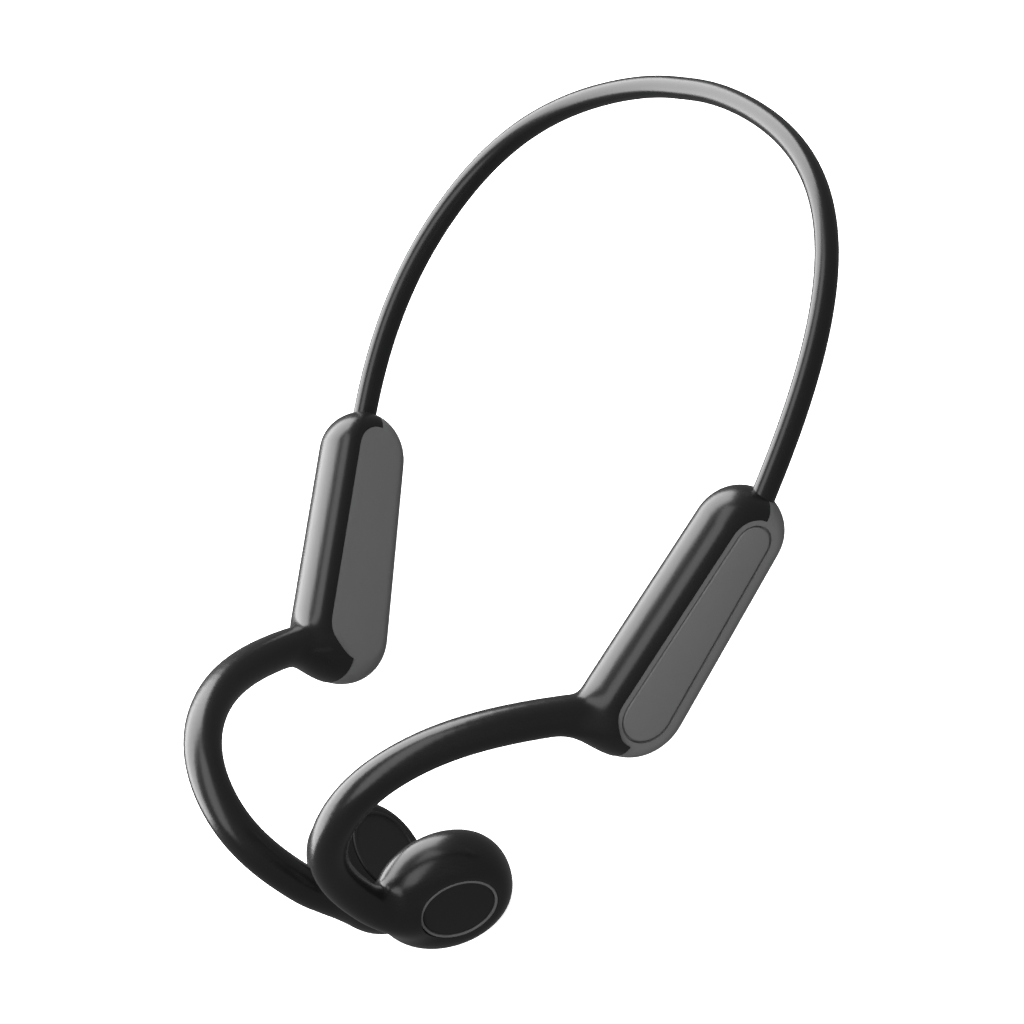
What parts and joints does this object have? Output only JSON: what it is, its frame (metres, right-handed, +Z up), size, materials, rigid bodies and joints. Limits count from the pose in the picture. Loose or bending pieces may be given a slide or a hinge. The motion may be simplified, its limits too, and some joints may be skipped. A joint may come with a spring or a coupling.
{
  "type": "bone conduction headphones",
  "caption": "Open-ear bone conduction headphones: sprung neckband, slim pods, soft ear hooks and round cheekbone drivers with a sprung button.",
  "frame": {"origin": "centre of the bounding box, at the level of the table the headphones rest on", "axes": "+X the wearer's left, +Y the back of the head, +Z up; the hooks point up"},
  "size_m": [0.1228, 0.1656, 0.0509],
  "materials": {
    "soft_black": "soft-touch satin black skin",
    "shell_grey": "fine matte dark grey moulding",
    "panel_grey": "matte dark grey with a polished edge",
    "pad_black": "matt black silicone",
    "button_black": "matt black",
    "ring_grey": "satin dark grey trim",
    "key_black": "matt black",
    "titanium": "drawn memory wire",
    "driver_steel": "plated",
    "copper": "enamelled copper",
    "contact_gold": "gold plated",
    "circuit": "solder mask",
    "cell_foil": "pouch foil"
  },
  "bodies": {
    "neckband": {"neckband_sleeve": "soft_black", "neckband_memory_wire": "titanium", "neckband_cable": "copper"},
    "left_side": {"left_pod_spine": "soft_black", "left_outer_shell": "shell_grey", "left_inner_shell": "shell_grey", "left_touch_panel": "panel_grey", "left_ear_hook": "soft_black", "left_hook_wire": "titanium", "left_driver_lead": "copper", "left_driver_housing": "soft_black", "left_contact_pad": "pad_black", "left_pad_seal": "key_black", "left_driver_spring": "driver_steel", "left_voice_coil": "copper", "left_magnet": "driver_steel", "left_yoke": "driver_steel", "left_button_ring": "ring_grey", "left_battery": "cell_foil", "left_protection_board": "circuit", "left_microphone": "driver_steel", "left_button_switch": "driver_steel"},
    "left_button": {"left_button": "button_black"},
    "right_side": {"right_pod_spine": "soft_black", "right_outer_shell": "shell_grey", "right_inner_shell": "shell_grey", "right_touch_panel": "panel_grey", "right_ear_hook": "soft_black", "right_hook_wire": "titanium", "right_driver_lead": "copper", "right_driver_housing": "soft_black", "right_contact_pad": "pad_black", "right_pad_seal": "key_black", "right_driver_spring": "driver_steel", "right_voice_coil": "copper", "right_magnet": "driver_steel", "right_yoke": "driver_steel", "right_button_ring": "ring_grey", "right_end_cap": "button_black", "right_circuit_board": "circuit", "charge_contact_front": "contact_gold", "charge_contact_rear": "contact_gold"},
    "volume_up": {"volume_up_key": "key_black"},
    "volume_down": {"volume_down_key": "key_black"}
  },
  "joints": [
    {"name": "left_flex", "type": "hinge", "parent": "neckband", "child": "left_side", "pos_m": [0.038, 0.05908, 0.01227], "axis": [0, 0, 1], "range_deg": [-0.5, 28], "stiffness_Nm_per_rad": 0.25, "deforming": ["neckband_sleeve", "neckband_memory_wire", "neckband_cable"]},
    {"name": "right_flex", "type": "hinge", "parent": "neckband", "child": "right_side", "pos_m": [-0.038, 0.05908, 0.01227], "axis": [0, 0, -1], "range_deg": [-0.5, 28], "stiffness_Nm_per_rad": 0.25, "deforming": ["neckband_sleeve", "neckband_memory_wire", "neckband_cable"]},
    {"name": "left_button_press", "type": "slide", "parent": "left_side", "child": "left_button", "axis": [-0.7979, 0.6019, 0.033], "range_m": [0, 0.0004], "stiffness_N_per_m": 1500},
    {"name": "volume_up_press", "type": "slide", "parent": "right_side", "child": "volume_up", "axis": [0, 0, 1], "range_m": [0, 0.0003], "stiffness_N_per_m": 1500},
    {"name": "volume_down_press", "type": "slide", "parent": "right_side", "child": "volume_down", "axis": [0, 0, 1], "range_m": [0, 0.0003], "stiffness_N_per_m": 1500}
  ]
}
